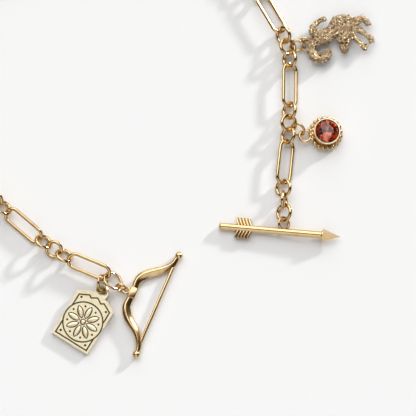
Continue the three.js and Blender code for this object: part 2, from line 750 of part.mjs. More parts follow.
function sectionPoints(section) {
  const geometry = new THREE.SphereGeometry(section.radius * WOLF_LENGTH, LUMP_SIDES, LUMP_BANDS).rotateX(Math.PI / 2);
  const widest = Math.max(...Object.values(WOLF_LIMBS).flat().map((s) => s.radius));
  geometry.scale(1, 1, WOLF_THICKNESS / 2 / (widest * WOLF_LENGTH));
  geometry.translate(section.x * WOLF_LENGTH, section.y * WOLF_LENGTH, 0);
  const position = geometry.attributes.position;
  return Array.from({ length: position.count }, (_, i) => new THREE.Vector3().fromBufferAttribute(position, i));
}

function wolfSolid() {
  const parts = [linkGeometry(SHAPES.wolfLoop)];
  for (const limb of Object.values(WOLF_LIMBS)) {
    for (let i = 0; i < limb.length - 1; i += 1) {
      parts.push(new ConvexGeometry([...sectionPoints(limb[i]), ...sectionPoints(limb[i + 1])]));
    }
  }
  return joined(parts);
}

// The whole bracelet

function named(name, geometry, values) {
  const mesh = new THREE.Mesh(geometry, material(values));
  mesh.name = name;
  return mesh;
}

function charms(links) {
  const byName = Object.fromEntries(links.map((link) => [link.name, link]));
  const meshes = [];

  const crystalRing = hookedRing(
    'crystal_ring', 'charmRing', CHARM_RING_LEAN, byName.round_link_1_2,
    degrees(CRYSTAL_HOOK_BEARING) - byName.round_link_1_2.yaw, degrees(CRYSTAL_HOOK_BEARING),
  );
  const crystalLoop = leaning('crystal_setting', 'crystalLoop', 0, CRYSTAL_LIFT + BASE_THICKNESS - JUMP_WIRE);
  const crystalMiddle = loopBeyond(crystalRing, crystalLoop, degrees(CRYSTAL_HOOK_BEARING));
  crystalMiddle.z = CRYSTAL_LIFT;
  const setting = named('crystal_setting', toGeometry(crystalSolid()), gold);
  setting.position.copy(crystalMiddle);
  const lean = Math.asin(CRYSTAL_LIFT / (STONE_REACH + BEAD_CIRCLE));
  setting.rotation.set(0, lean, degrees(CRYSTAL_BEARING), 'ZYX');
  const stone = named('crystal_stone', stoneGeometry(), { color: 0xb5301c, roughness: 0.05, metalness: 0 });
  const toStone = new THREE.Vector3(STONE_REACH, 0, GIRDLE_HEIGHT);
  stone.position.copy(toStone.applyEuler(setting.rotation).add(crystalMiddle));
  stone.rotation.copy(setting.rotation);
  meshes.push(linkMesh(crystalRing), setting, stone);

  const wolfRing = hookedRing(
    'wolf_ring', 'charmRing', CHARM_RING_LEAN, byName.round_link_2_2,
    degrees(WOLF_HOOK_BEARING) - byName.round_link_2_2.yaw, degrees(WOLF_HOOK_BEARING),
  );
  const wolfLoop = leaning('wolf', 'wolfLoop', 0, (WOLF_THICKNESS - WOLF_LOOP_WIRE) / 2);
  const wolf = named('wolf', toGeometry(wolfSolid()), furGold);
  wolf.position.copy(loopBeyond(wolfRing, wolfLoop, degrees(WOLF_HOOK_BEARING)));
  wolf.rotation.z = degrees(WOLF_BEARING);
  meshes.push(linkMesh(wolfRing), wolf);

  const last = byName[`long_link_${REPEATS + 1}`];
  const plateRing = hookedRing(
    'plate_ring', 'plateRing', -CHARM_RING_LEAN, last, degrees(PLATE_HOOK_AROUND), degrees(PLATE_HOOK_BEARING),
  );
  const lugWall = (LUG_DIAMETER - LUG_HOLE) / 2;
  const acrossLug = Math.hypot(lugWall, PLATE_THICKNESS);
  const plateLoop = { bend: (LUG_HOLE + lugWall) / 2, wire: acrossLug, height: PLATE_LIFT + PLATE_THICKNESS / 2 };
  const plate = named('plate', toGeometry(plateSolid()), gold);
  plate.position.copy(loopBeyond(plateRing, plateLoop, degrees(PLATE_HOOK_BEARING)));
  plate.position.z = PLATE_LIFT;
  plate.rotation.set(0, Math.asin(PLATE_LIFT / (LUG_RISE + PLATE_HEIGHT)), degrees(PLATE_BEARING), 'ZYX');
  meshes.push(linkMesh(plateRing), plate);
  return meshes;
}

const links = laidChain();
const bracelet = new THREE.Group();
for (const link of links) {
  if (link.name === 'arrow') {
    bracelet.add(arrowMesh(link));
  } else if (link.name === 'bow') {
    bracelet.add(bowMesh(link));
  } else {
    bracelet.add(linkMesh(link));
  }
}
bracelet.add(...charms(links));

// The origin lies on the table, in the middle of the bracelet's box.
bracelet.updateMatrixWorld(true);
const box = new THREE.Box3().setFromObject(bracelet, true);
bracelet.position.set(-(box.min.x + box.max.x) / 2, -(box.min.y + box.max.y) / 2, -box.min.z);

export default bracelet;
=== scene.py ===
# %% [markdown]
# # A gold charm bracelet with an arrow-and-bow toggle
#
# The bracelet lies open on a pale table. The frame below is its packed CAD model, and every piece here is
# made at the place of the CAD node that it stands for. All lengths are metres, and MM turns millimetres to them.

# %% Frame and tools
import math

import bmesh
import bpy
import numpy as np
from mathutils import Matrix, Vector


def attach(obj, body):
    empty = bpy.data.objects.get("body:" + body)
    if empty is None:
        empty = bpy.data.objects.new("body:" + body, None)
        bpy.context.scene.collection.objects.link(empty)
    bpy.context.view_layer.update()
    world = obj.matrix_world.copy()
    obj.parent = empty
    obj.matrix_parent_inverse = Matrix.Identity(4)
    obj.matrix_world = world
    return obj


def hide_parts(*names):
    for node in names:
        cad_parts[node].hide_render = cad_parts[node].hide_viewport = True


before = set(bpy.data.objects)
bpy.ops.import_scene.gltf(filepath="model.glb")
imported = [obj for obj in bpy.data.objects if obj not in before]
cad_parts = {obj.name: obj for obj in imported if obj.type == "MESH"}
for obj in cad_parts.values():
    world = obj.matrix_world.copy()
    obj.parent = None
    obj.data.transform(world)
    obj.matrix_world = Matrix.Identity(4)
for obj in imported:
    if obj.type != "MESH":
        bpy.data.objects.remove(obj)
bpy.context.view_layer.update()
MM = 0.001

# %% [markdown]
# ## The camera
#
# A product photographer hangs the camera almost overhead on a long lens, so that the jewellery isn't
# distorted. The view is 10 degrees off the vertical, from the wearer's side. A lens of 200 mm half a metre
# away does the same here.

# %% Camera
FIELD = 91.52 * MM
LENS, SENSOR = 200.0, 36.0
ELEVATION = math.radians(80)
AIM = Vector((12.027, -15.342, 0.0)) * MM

bpy.ops.object.select_all(action="DESELECT")
distance = FIELD * LENS / SENSOR
toward = Vector((0, -math.cos(ELEVATION), math.sin(ELEVATION)))
bpy.ops.object.camera_add(location=AIM + toward * distance)
camera = bpy.context.object
camera.rotation_mode = "QUATERNION"
camera.rotation_quaternion = (-toward).to_track_quat("-Z", "Y")
camera.data.lens, camera.data.sensor_width = LENS, SENSOR
camera.data.clip_start, camera.data.clip_end = 0.01, 10
bpy.context.scene.camera = camera
print("camera", round(distance, 3), "m away")

# %% [markdown]
# ## Sums on sockets
#
# A material is a small formula. Written with nodes alone it is hard to read, so a `Wire` wraps a socket
# and lets Python's own + - * join them. Each sum adds one Math node.

# %% Wire
class Wire:
    def __init__(self, sheet, socket):
        self.sheet, self.socket = sheet, socket

    def math(self, operation, *others):
        sockets = dict(enumerate((self, *others)))
        return self.sheet.node("ShaderNodeMath", {"operation": operation}, sockets).out()

    def __add__(self, other):
        return self.math("ADD", other)

    def __sub__(self, other):
        return self.math("SUBTRACT", other)

    def __rsub__(self, other):
        return self.sheet.node("ShaderNodeMath", {"operation": "SUBTRACT"}, {0: other, 1: self}).out()

    def __mul__(self, other):
        return self.math("MULTIPLY", other)

    __radd__ = __add__


print("a wire takes part in", [name.strip("_") for name in vars(Wire) if name.endswith(("add__", "sub__", "mul__"))])

# %% [markdown]
# ## A sheet to write nodes on
#
# A `Sheet` is a material's node tree. Its one method makes any node, sets it up and fills its sockets with
# values or wires, and the few that are needed again and again have short names: a mix of two colours, a
# smooth step, and noise. The noise reads the place on the object in millimetres, so that it is fixed to the
# metal and keeps its scale.

# %% Sheet
class Made:
    def __init__(self, sheet, node):
        self.sheet, self.node = sheet, node

    def out(self, name=0):
        return Wire(self.sheet, self.node.outputs[name])


class Sheet:
    """A node tree that is written on."""

    def __init__(self, tree):
        self.tree = tree
        tree.nodes.clear()

    def node(self, kind, settings=None, sockets=None):
        node = self.tree.nodes.new(kind)
        for name, value in (settings or {}).items():
            setattr(node, name, value)
        for name, value in (sockets or {}).items():
            if isinstance(value, Wire):
                self.tree.links.new(value.socket, node.inputs[name])
            else:
                node.inputs[name].default_value = value
        return Made(self, node)

    def mix(self, factor, first, second):
        made = self.node("ShaderNodeMix", {"data_type": "RGBA"}, {0: factor, 6: first, 7: second})
        return made.out(2)

    def step(self, value, low, high):
        settings = {"interpolation_type": "SMOOTHSTEP"}
        return self.node("ShaderNodeMapRange", settings, {0: value, 1: low, 2: high}).out()

    def noise(self, place, scale, detail=3.0, roughness=0.5):
        sockets = {"Vector": place, "Scale": scale, "Detail": detail, "Roughness": roughness}
        return self.node("ShaderNodeTexNoise", {"noise_dimensions": "3D"}, sockets).out(0)


def colour(red, green, blue):
    return (red, green, blue, 1.0)


def new_material(name):
    material = bpy.data.materials.new(name)
    material.use_nodes = True
    sheet = Sheet(material.node_tree)
    object_place = sheet.node("ShaderNodeTexCoord").out("Object")
    in_mm = sheet.node("ShaderNodeVectorMath", {"operation": "SCALE"}, {0: object_place, "Scale": 1 / MM}).out()
    return material, sheet, in_mm


def finish_material(sheet, shader):
    sheet.node("ShaderNodeOutputMaterial", None, {"Surface": shader})


print("a material is written with", [name for name in vars(Sheet) if not name.startswith("_")])

# %% [markdown]
# ## The gold
#
# The metal is brass under a pale gold plating. It was tumbled bright, not machined, so that its surface
# waves a little, has a fine pitted grain and is a touch rougher in places. A metal shows almost nothing but
# its surroundings, so these three small faults are what makes it look real: two sizes of bump for the waves
# and the grain, and a changing roughness. Five finishes come from one recipe: polished for most pieces,
# brushed for the bow's broad limbs, a satin for the plate's face and the cup's edge whose paler colour is a
# painted highlight, a darker one whose colour is painted shade on the plate's sides, and a darker one for the
# webs between the arrow's barbs.

# %% Polished gold
def gold_material(name, tone, waves, grain, rough):
    material, sheet, place = new_material(name)
    cloud = sheet.noise(place, 0.9, 2.0)
    fine = sheet.noise(place, 9.0, 4.0, 0.65)
    wave = sheet.noise(place, 1.7, 1.0)
    stained = sheet.step(cloud, 0.42, 0.75)
    stain = [part * share for part, share in zip(tone, (0.93, 0.86, 0.74))]
    base = sheet.mix(stained, colour(*tone), colour(*stain))
    height = wave * waves + fine * grain
    bump = sheet.node("ShaderNodeBump", None, {"Strength": 1.0, "Distance": MM, "Height": height}).out()
    shader = sheet.node("ShaderNodeBsdfPrincipled", None, {
        "Base Color": base, "Metallic": 1.0, "Roughness": fine * 0.08 + stained * 0.04 + rough, "Normal": bump,
    }).out()
    finish_material(sheet, shader)
    return material


GOLD_TONE = (0.73, 0.53, 0.29)
gold = gold_material("gold_polished", GOLD_TONE, 0.002, 0.0005, 0.02)
# Satin gold whose paler colour is a painted highlight, for the plate's face and the cup's edge.
painted_highlight_gold = gold_material("gold_satin_painted_highlight", (1.0, 0.92, 0.67), 0.004, 0.002, 0.46)
gold_soft = gold_material("gold_brushed", GOLD_TONE, 0.002, 0.0005, 0.16)
# Darker gold whose colour is painted shade on the plate's outer sides.
painted_shade_gold = gold_material("gold_painted_shade", (0.44, 0.285, 0.14), 0.002, 0.001, 0.12)
# Darker gold for the webs between the arrow's barbs.
gold_deep = gold_material("gold_darker", (0.36, 0.21, 0.095), 0.002, 0.001, 0.2)
print("gold materials", [m.name for m in (gold, painted_highlight_gold, gold_soft, painted_shade_gold, gold_deep)])

# %% [markdown]
# ## The dark filling of engraved lines
#
# The lines cut into the plate are filled with a brown-black patina and wiped. A little gold shows where
# the wiping went deeper, so noise mixes the two.

# %% Patina
patina, sheet, place = new_material("patina_dark")
worn = sheet.step(sheet.noise(place, 4.0, 4.0, 0.6), 0.55, 0.8)
patina_shader = sheet.node("ShaderNodeBsdfPrincipled", None, {
    "Base Color": sheet.mix(worn, colour(0.07, 0.03, 0.011), colour(0.42, 0.26, 0.12)),
    "Metallic": worn * 0.8,
    "Roughness": 0.45 + worn * -0.15,
}).out()
finish_material(sheet, patina_shader)
print("patina nodes", len(patina.node_tree.nodes))

# %% [markdown]
# ## Starting and picking
#
# Each piece starts as a primitive at its size and is shaped in edit mode. An operator acts on all that is
# selected, so a piece is started with nothing else selected, and its faces are picked by a rule on their
# place or normal.

# %% Starting and picking
def started(name, add, **settings):
    bpy.ops.object.select_all(action="DESELECT")
    add(**settings)
    piece = bpy.context.object
    piece.name = piece.data.name = name
    return piece


def only(piece):
    bpy.ops.object.select_all(action="DESELECT")
    piece.select_set(True)
    bpy.context.view_layer.objects.active = piece


def picked(piece, kind, wanted):
    """Opens the piece in edit mode with only the vertices, edges or faces that are wanted selected."""
    only(piece)
    bpy.ops.object.mode_set(mode="EDIT")
    bpy.ops.mesh.select_mode(type=kind)
    bpy.ops.mesh.select_all(action="DESELECT")
    work = bmesh.from_edit_mesh(piece.data)
    for element in {"VERT": work.verts, "EDGE": work.edges, "FACE": work.faces}[kind]:
        element.select_set(bool(wanted(element)))
    work.select_flush_mode()
    bmesh.update_edit_mesh(piece.data)
    return work


def closed_edit():
    bpy.ops.object.mode_set(mode="OBJECT")


print("CAD nodes that were still selected", len(bpy.context.selected_objects))

# %% [markdown]
# ## Links and rings
#
# The chain repeats one long link and three round ones, all of the same round wire. A link is a ring of
# wire, pulled apart for the long kind, and closed with a soldered joint that shows as a faint neck. A torus
# is that ring. Its halves are moved apart in edit mode for the long kind, and the ring of vertices at the
# joint is drawn in a little. The jump rings of the charms are the same, of thinner wire.

# %% One link
ON_MIDDLE = 1e-6


def link(name, length, width, wire, joint=0.88, along=64, around=16):
    bend = (width - wire) / 2 * MM
    piece = started(
        name, bpy.ops.mesh.primitive_torus_add, major_segments=along, minor_segments=around,
        major_radius=bend, minor_radius=wire / 2 * MM,
    )
    picked(piece, "VERT", lambda v: v.co.x > ON_MIDDLE)
    bpy.ops.transform.translate(value=((length - width) / 2 * MM, 0, 0))
    closed_edit()
    picked(piece, "VERT", lambda v: v.co.x < -ON_MIDDLE)
    bpy.ops.transform.translate(value=((width - length) / 2 * MM, 0, 0))
    closed_edit()
    work = picked(piece, "VERT", lambda v: abs(v.co.x) < ON_MIDDLE and v.co.y < 0)
    centre = Vector((0, -bend, 0))
    for vertex in work.verts:
        if vertex.select:
            vertex.co = centre + (vertex.co - centre) * joint
    bmesh.update_edit_mesh(piece.data)
    closed_edit()
    only(piece)
    bpy.ops.object.shade_smooth()
    return piece


LINK_WIRE, JUMP_WIRE = 0.82, 0.62
ROUND, LONG_LENGTH, LONG_WIDTH = 4.3, 10.5, 4.1
JUMP_RINGS = {"charm_ring": 3.8, "plate_ring": 3.9, "clasp_ring": 4.7, "clasp_link": 2.7}
KINDS = {
    "round": link("pattern_round", ROUND, ROUND, LINK_WIRE),
    "long": link("pattern_long", LONG_LENGTH, LONG_WIDTH, LINK_WIRE, along=80),
}
for kind, size in JUMP_RINGS.items():
    KINDS[kind] = link(f"pattern_{kind}", size, size, JUMP_WIRE, joint=0.8)
print("patterns", {kind: len(piece.data.polygons) for kind, piece in KINDS.items()})

# %% [markdown]
# ## Laying the chain
#
# Each link of the real chain lies in its own way, leaning on its neighbours. The CAD node already has that
# lie, so the pattern is copied to it: the flattest direction of the node's points is the ring's axis, and
# the longest one is the length of a long link. A round link is turned by a different amount each time, so
# that the joints don't line up.

# %% Every link in its place
def shown(piece, nodes, slot, *materials):
    """Gives a finished piece its materials, hangs it on the root body and hides the CAD nodes that it stands for."""
    if materials:
        piece.data.materials.clear()
        for material in materials:
            piece.data.materials.append(material)
    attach(piece, "root")
    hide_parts(*nodes)
    return piece


def lie_of(node, turn):
    points = np.unique(np.round([v.co[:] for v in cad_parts[node].data.vertices], 7), axis=0)
    middle = points.mean(0)
    sizes, axes = np.linalg.eigh(np.cov((points - middle).T))
    axis = Vector(axes[:, 0])
    axis *= 1 if axis.z > 0 else -1
    length = Vector(axes[:, 2])
    length *= 1 if length.x > 0 else -1
    matrix = Matrix([length, axis.cross(length), axis]).transposed().to_4x4()
    if sizes[2] < sizes[1] * 1.2:
        matrix = matrix @ Matrix.Rotation(turn, 4, "Z")
    return Matrix.Translation(Vector(middle)) @ matrix


def kind_of(node):
    if node.startswith(("lead_ring", "round_link")):
        return "round"
    if node.startswith("long_link"):
        return "long"
    if node in ("crystal_ring", "wolf_ring"):
        return "charm_ring"
    return node if node in KINDS else None


FIRST_TURN, NEXT_TURN = 100, 137.5
placed = 0
for number, node in enumerate(sorted(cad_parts)):
    if kind_of(node):
        piece = bpy.data.objects.new(f"{node}_wire", KINDS[kind_of(node)].data.copy())
        bpy.context.collection.objects.link(piece)
        piece.data.transform(lie_of(node, math.radians(FIRST_TURN + NEXT_TURN * number)))
        shown(piece, [node], "gold", gold)
        placed += 1
for pattern in KINDS.values():
    bpy.data.objects.remove(pattern)
print("links placed", placed)

# %% [markdown]
# ## Placing, joining and cutting
#
# A casting is one body, so its pieces are made side by side, united by a boolean, and then laid in place.
# The place goes into the mesh for good, and the object stays at the origin. A modifier is applied as soon as
# it is set. Places on the table are measured from the middle of the picture.

# %% Placing, joining and cutting
def settled(piece, matrix=None):
    """Puts the object's place and then a matrix into its mesh, and leaves the object at the origin."""
    bpy.context.view_layer.update()
    piece.data.transform((matrix or Matrix()) @ piece.matrix_world)
    piece.matrix_world = Matrix()
    return piece


def applied(piece, kind, **settings):
    only(piece)
    modifier = piece.modifiers.new(kind.lower(), kind)
    for name, value in settings.items():
        setattr(modifier, name, value)
    bpy.ops.object.modifier_apply(modifier=modifier.name)
    return piece


def combined(piece, others, operation="UNION"):
    for other in others:
        applied(piece, "BOOLEAN", operation=operation, object=other, solver="EXACT", material_mode="TRANSFER")
        bpy.data.objects.remove(other)
    return piece


def smooth(piece, degrees=40):
    only(piece)
    bpy.ops.object.shade_smooth_by_angle(angle=math.radians(degrees))
    return piece


def at(x, y, z, yaw=0.0, pitch=0.0, roll=0.0):
    """A place in millimetres and degrees. Pitch turns about Y and roll about X, before the yaw."""
    turn = Matrix.Rotation(math.radians(yaw), 4, "Z") @ Matrix.Rotation(math.radians(pitch), 4, "Y")
    return Matrix.Translation(Vector((x, y, z)) * MM) @ turn @ Matrix.Rotation(math.radians(roll), 4, "X")


def on_table(x, y, z, **turns):
    """The same, measured from the middle of the picture, which is where the camera aims."""
    return Matrix.Translation(AIM) @ at(x, y, z, **turns)


print("the middle of the picture in mm", [round(v / MM, 2) for v in on_table(0, 0, 0).translation])

# %% [markdown]
# ## The arrow
#
# The bar of the toggle is one casting. It has a plain round shaft with a rounded end, two slanted vanes of
# five barbs on a thin dark web, a collar, and a point with four faces. Each is a primitive that is shaped
# and then united with the shaft, because separate shells would show dark slits where they meet. The loop
# that the chain holds is a link without a joint.

# %% Arrow
SHAFT, TAIL, HEAD_START, HEAD_LENGTH, HEAD_WIDTH = 1.56, 14.3, 8.5, 3.9, 3.15
HEAD_ROLL = -18
COLLAR_HALF, COLLAR_WIDTH = 0.35, 2.1
VANE_START, VANE_LENGTH, VANE_SPAN, VANE_SWEEP, WEB_THICK = 10.0, 3.3, 2.25, 0.9, 0.4
BARBS, BARB_WIDTH, BARB_THICK = 5, 0.52, 0.9
ARROW_PLACE = on_table(16.628, -5.505, 1.232, yaw=-5.4, pitch=-1.81)
ARROW_LOOP, ARROW_LOOP_PLACE = 3.3, on_table(16.628, -3.625, 1.064, pitch=35)


def loop(name, size, wire, matrix):
    return settled(link(name, size, size, wire, joint=1.0, along=48, around=14), matrix)


def rod(name, start, end, diameter, bevel, vertices=48):
    """A round bar along x."""
    piece = started(
        name, bpy.ops.mesh.primitive_cylinder_add, vertices=vertices, radius=diameter / 2 * MM,
        depth=(end - start) * MM, location=((start + end) / 2 * MM, 0, 0), rotation=(0, math.pi / 2, 0),
    )
    settled(piece)
    edges = {"limit_method": "ANGLE", "angle_limit": math.radians(50)}
    return applied(piece, "BEVEL", width=bevel * MM, segments=5, **edges)


def slanted_bar(name, start, length, thickness, side, bevel):
    piece = started(
        name, bpy.ops.mesh.primitive_cube_add, size=1,
        location=((start + length / 2) * MM, side * VANE_SPAN / 2 * MM, 0),
        scale=(length * MM, VANE_SPAN * MM, thickness * MM),
    )
    settled(piece)
    picked(piece, "FACE", lambda f: f.normal.y * side > 0.9)
    bpy.ops.transform.translate(value=(-VANE_SWEEP * MM, 0, 0))
    closed_edit()
    return applied(piece, "BEVEL", width=bevel * MM, segments=3, limit_method="ANGLE")


arrow = rod("arrow_casting", -TAIL, HEAD_START, SHAFT, bevel=0.5, vertices=96)
collar = rod("collar", HEAD_START - COLLAR_HALF, HEAD_START + COLLAR_HALF, COLLAR_WIDTH, bevel=0.16)
point = started(
    "point", bpy.ops.mesh.primitive_cone_add, vertices=4, radius1=HEAD_WIDTH / 2 * MM, radius2=0.04 * MM,
    depth=HEAD_LENGTH * MM, location=((HEAD_START + HEAD_LENGTH / 2) * MM, 0, 0), rotation=(0, math.pi / 2, 0),
)
settled(point, Matrix.Rotation(math.radians(HEAD_ROLL), 4, "X"))
vanes = []
for side in (1, -1):
    vanes.append(slanted_bar("vane", -VANE_START, VANE_LENGTH, WEB_THICK, side, 0.05))
    vanes[-1].data.materials.append(gold_deep)
    for barb in range(BARBS):
        start = -VANE_START + barb * (VANE_LENGTH - BARB_WIDTH) / (BARBS - 1)
        vanes.append(slanted_bar("barb", start, BARB_WIDTH, BARB_THICK, side, 0.16))
        vanes[-1].data.materials.append(gold)
for piece in (arrow, collar, point):
    piece.data.materials.append(gold)
combined(arrow, [collar, point, *vanes])
settled(arrow, ARROW_PLACE)
combined(arrow, [loop("arrow_loop", ARROW_LOOP, JUMP_WIRE, ARROW_LOOP_PLACE)])
shown(smooth(arrow, 35), ["arrow"], "gold")
print("arrow faces", len(arrow.data.polygons))

# %% [markdown]
# ## The bow
#
# The other half of the toggle is a recurved bow, also one casting. Each limb has a ridge near its outer
# edge and a broad face that slopes to the inside, so that it catches two tones of light. The section is
# drawn once as a small polygon and extruded from station to station, wider in the belly and thinner towards
# the tip, just as a smith would draw it out. A station is its share of the reach, its share of the depth and
# its share of the width, and a smooth curve runs through them.

# %% Limb sections
BOW_REACH, BOW_DEPTH, BOW_THICK, LIMB_WIDTH = 11.5, 6.0, 1.5, 1.95
SECTION = [
    (-1.0, -0.55), (-1.0, 0.2), (-0.9, 0.52), (-0.68, 0.8), (-0.42, 0.95), (-0.2, 1.0), (0.0, 0.9),
    (0.45, 0.55), (0.85, 0.2), (1.0, -0.05), (1.0, -0.55), (0.85, -0.85), (0.5, -1.0), (-0.5, -1.0),
    (-0.85, -0.85),
]
UPPER = [
    (0.06, 0.0, 0.8), (0.23, -0.02, 0.85), (0.34, 0.05, 1.0), (0.45, 0.24, 1.0), (0.56, 0.51, 0.95),
    (0.68, 0.77, 0.85), (0.82, 0.94, 0.75), (1.0, 1.0, 0.6),
]
LOWER = [
    (-0.06, 0.0, 0.8), (-0.24, -0.03, 0.9), (-0.35, 0.04, 1.0), (-0.46, 0.19, 1.0), (-0.55, 0.4, 0.95),
    (-0.65, 0.66, 0.85), (-0.78, 0.87, 0.75), (-0.92, 0.99, 0.65), (-1.05, 1.0, 0.55),
]


def through(values, share):
    """A smooth curve through a table's rows, at a share of the way along it."""
    place = share * (len(values) - 1)
    i = min(int(place), len(values) - 2)
    a, b, c, d = (np.array(values[min(max(k, 0), len(values) - 1)], float) for k in (i - 1, i, i + 1, i + 2))
    t = place - i
    return 0.5 * (2 * b + (c - a) * t + (2 * a - 5 * b + 4 * c - d) * t**2 + (3 * b - a - 3 * c + d) * t**3)


def outward(piece):
    picked(piece, "VERT", lambda v: True)
    bpy.ops.mesh.remove_doubles(threshold=0.002 * MM)
    bpy.ops.mesh.normals_make_consistent(inside=False)
    closed_edit()
    return piece


def limb(name, table, inner, steps=48):
    piece = started(name, bpy.ops.mesh.primitive_circle_add, vertices=len(SECTION), radius=MM, fill_type="NGON")
    work = picked(piece, "FACE", lambda f: True)
    corner = work.verts.layers.int.new("corner")
    for i, vertex in enumerate(work.verts):
        vertex[corner] = i
    for step in range(steps + 1):
        if step:
            bpy.ops.mesh.extrude_region_move()
            work = bmesh.from_edit_mesh(piece.data)
            corner = work.verts.layers.int["corner"]
        up, back, width = through(table, step / steps)
        ahead, behind = through(table, min(step / steps + 0.01, 1)), through(table, max(step / steps - 0.01, 0))
        rise, fall = (ahead[0] - behind[0]) * BOW_REACH, (ahead[1] - behind[1]) * BOW_DEPTH
        run = Vector((rise, -fall, 0)).normalized()
        side = Vector((-run.y, run.x, 0)) * inner
        middle = Vector((up * BOW_REACH, -back * BOW_DEPTH, 0))
        for vertex in work.verts:
            if vertex.select:
                across, height = SECTION[vertex[corner]]
                thick = BOW_THICK / 2 * (0.78 + 0.22 * width)
                vertex.co = (middle + side * across * width * LIMB_WIDTH / 2 + Vector((0, 0, height * thick))) * MM
        bmesh.update_edit_mesh(piece.data)
    closed_edit()
    return outward(piece)


print("section corners", len(SECTION), "stations", len(UPPER), len(LOWER))

# %% [markdown]
# ## The bow in one piece
#
# On the real casting the limbs grow out of a square grip, end in balls, and a stiff rod stands for the
# string. Cube, rod and balls are made at their sizes and united with the limbs, and the small loop for the
# chain comes last, at the place that the CAD gives it.

# %% Bow
GRIP_LENGTH, GRIP_WIDTH, GRIP_THICK, TIP_BALL = 2.5, 1.6, 1.8, 1.75
STRING, STRING_LINE, STRING_LOW, STRING_HIGH = 0.76, 5.84, -9.3, 8.6
BOW_PLACE = on_table(-16.386, -18.992, 0.9, yaw=67)
BOW_LOOP, THIN_WIRE = 2.1, 0.5
BOW_LOOP_PLACE = on_table(-17.859, -18.367, 1.15, yaw=-25.3, roll=-30)


def ball(name, x, y, z, diameter, segments=32):
    piece = started(
        name, bpy.ops.mesh.primitive_uv_sphere_add, segments=segments, ring_count=segments // 2,
        radius=diameter / 2 * MM, location=(x * MM, y * MM, z * MM),
    )
    return settled(piece)


bow = limb("bow_casting", UPPER, -1)
lower = limb("lower_limb", LOWER, 1)
grip = started(
    "grip", bpy.ops.mesh.primitive_cube_add, size=1, scale=(GRIP_LENGTH * MM, GRIP_WIDTH * MM, GRIP_THICK * MM),
)
settled(grip)
applied(grip, "BEVEL", width=0.22 * MM, segments=4, limit_method="ANGLE")
string = rod("string", STRING_LOW, STRING_HIGH, STRING, bevel=0.15, vertices=32)
settled(string, at(0, -STRING_LINE, 0))
tips = [ball("tip", table[-1][0] * BOW_REACH, -BOW_DEPTH, 0, TIP_BALL) for table in (UPPER, LOWER)]
combined(bow, [lower, grip, string, *tips])
settled(bow, BOW_PLACE)
combined(bow, [loop("bow_loop", BOW_LOOP, THIN_WIRE, BOW_LOOP_PLACE)])
shown(smooth(bow, 38), ["bow"], "gold", gold_soft)
print("bow faces", len(bow.data.polygons))

# %% [markdown]
# ## The plate
#
# The flat charm is a small plate with a gabled top and a pierced lug, stamped out of sheet. So it is an
# outline raised to its thickness, with the lug and its neck united, the hole cut through, and all edges
# softened by a bevel. Its x runs from the lug's hole down the plate.

# %% Plate body
PLATE_W, PLATE_H, PLATE_T, LUG_RISE, GABLE_RISE, GABLE_RUN = 9.2, 10.9, 1.0, 2.45, 1.2, 2.3
LUG, LUG_HOLE = 3.1, 1.8
PLATE_PLACE = on_table(-23.045, -18.716, 1.1, yaw=-122, pitch=4.726)


def slab(name, outline, low, high, material=None):
    """A flat polygon, raised to a block."""
    piece = started(name, bpy.ops.mesh.primitive_circle_add, vertices=len(outline), radius=MM, fill_type="NGON")
    work = picked(piece, "FACE", lambda f: True)
    for vertex, (x, y) in zip(work.verts, outline):
        vertex.co = Vector((x, y, low)) * MM
    bmesh.update_edit_mesh(piece.data)
    bpy.ops.mesh.extrude_region_move(TRANSFORM_OT_translate={"value": (0, 0, (high - low) * MM)})
    closed_edit()
    if material:
        piece.data.materials.append(material)
    return outward(piece)


def round_outline(x, y, radius, count=96):
    turns = [2 * math.pi * i / count for i in range(count)]
    return [(x + radius * math.cos(turn), y + radius * math.sin(turn)) for turn in turns]


half, bottom, ridge = PLATE_W / 2, LUG_RISE + PLATE_H, LUG_RISE - GABLE_RISE
plate = slab("plate_charm", [
    (bottom, -half), (bottom, half), (LUG_RISE, half), (ridge, half - GABLE_RUN), (ridge, GABLE_RUN - half),
    (LUG_RISE, -half),
], 0, PLATE_T)
# The plate's face is in the paler satin gold, a painted highlight.
plate.data.materials.append(painted_highlight_gold)
combined(plate, [
    slab("lug", round_outline(0, 0, LUG / 2, 64), 0, PLATE_T, painted_highlight_gold),
    slab("neck", [(0, -LUG / 2), (LUG_RISE, -LUG / 2), (LUG_RISE, LUG / 2), (0, LUG / 2)], 0, PLATE_T, painted_highlight_gold),
])
combined(plate, [slab("hole", round_outline(0, 0, LUG_HOLE / 2, 48), -1, 2, painted_highlight_gold)], "DIFFERENCE")
applied(plate, "BEVEL", width=0.24 * MM, segments=3, limit_method="ANGLE", angle_limit=math.radians(50))
print("plate body faces", len(plate.data.polygons))

# %% [markdown]
# ## Engraved lines
#
# A frame line follows the plate's edge, a circle bounds the round field, and a small stud hole sits in each
# corner. They are cut by thin ring-shaped cutters that bring the dark patina with them, as a graver and a
# filling would. The frame line is one outline, grown outward and inward by half of the groove's width.

# %% Engraving
GROOVE, GROOVE_DEEP = 0.31, 0.15
CUT_TOP, CUT_FLOOR = PLATE_T + 0.3, PLATE_T - GROOVE_DEEP
FIELD_R, FIELD_X = 4.2, 7.84
LINE_BOTTOM, LINE_SIDE = 12.72, 3.95
TOP_LINE = [(3.1, 3.9), (2.08, 1.85), (2.46, 1.25), (1.74, 0.0)]
STUD, STUD_XS, STUD_Y = 0.54, (3.37, 11.85), 3.15


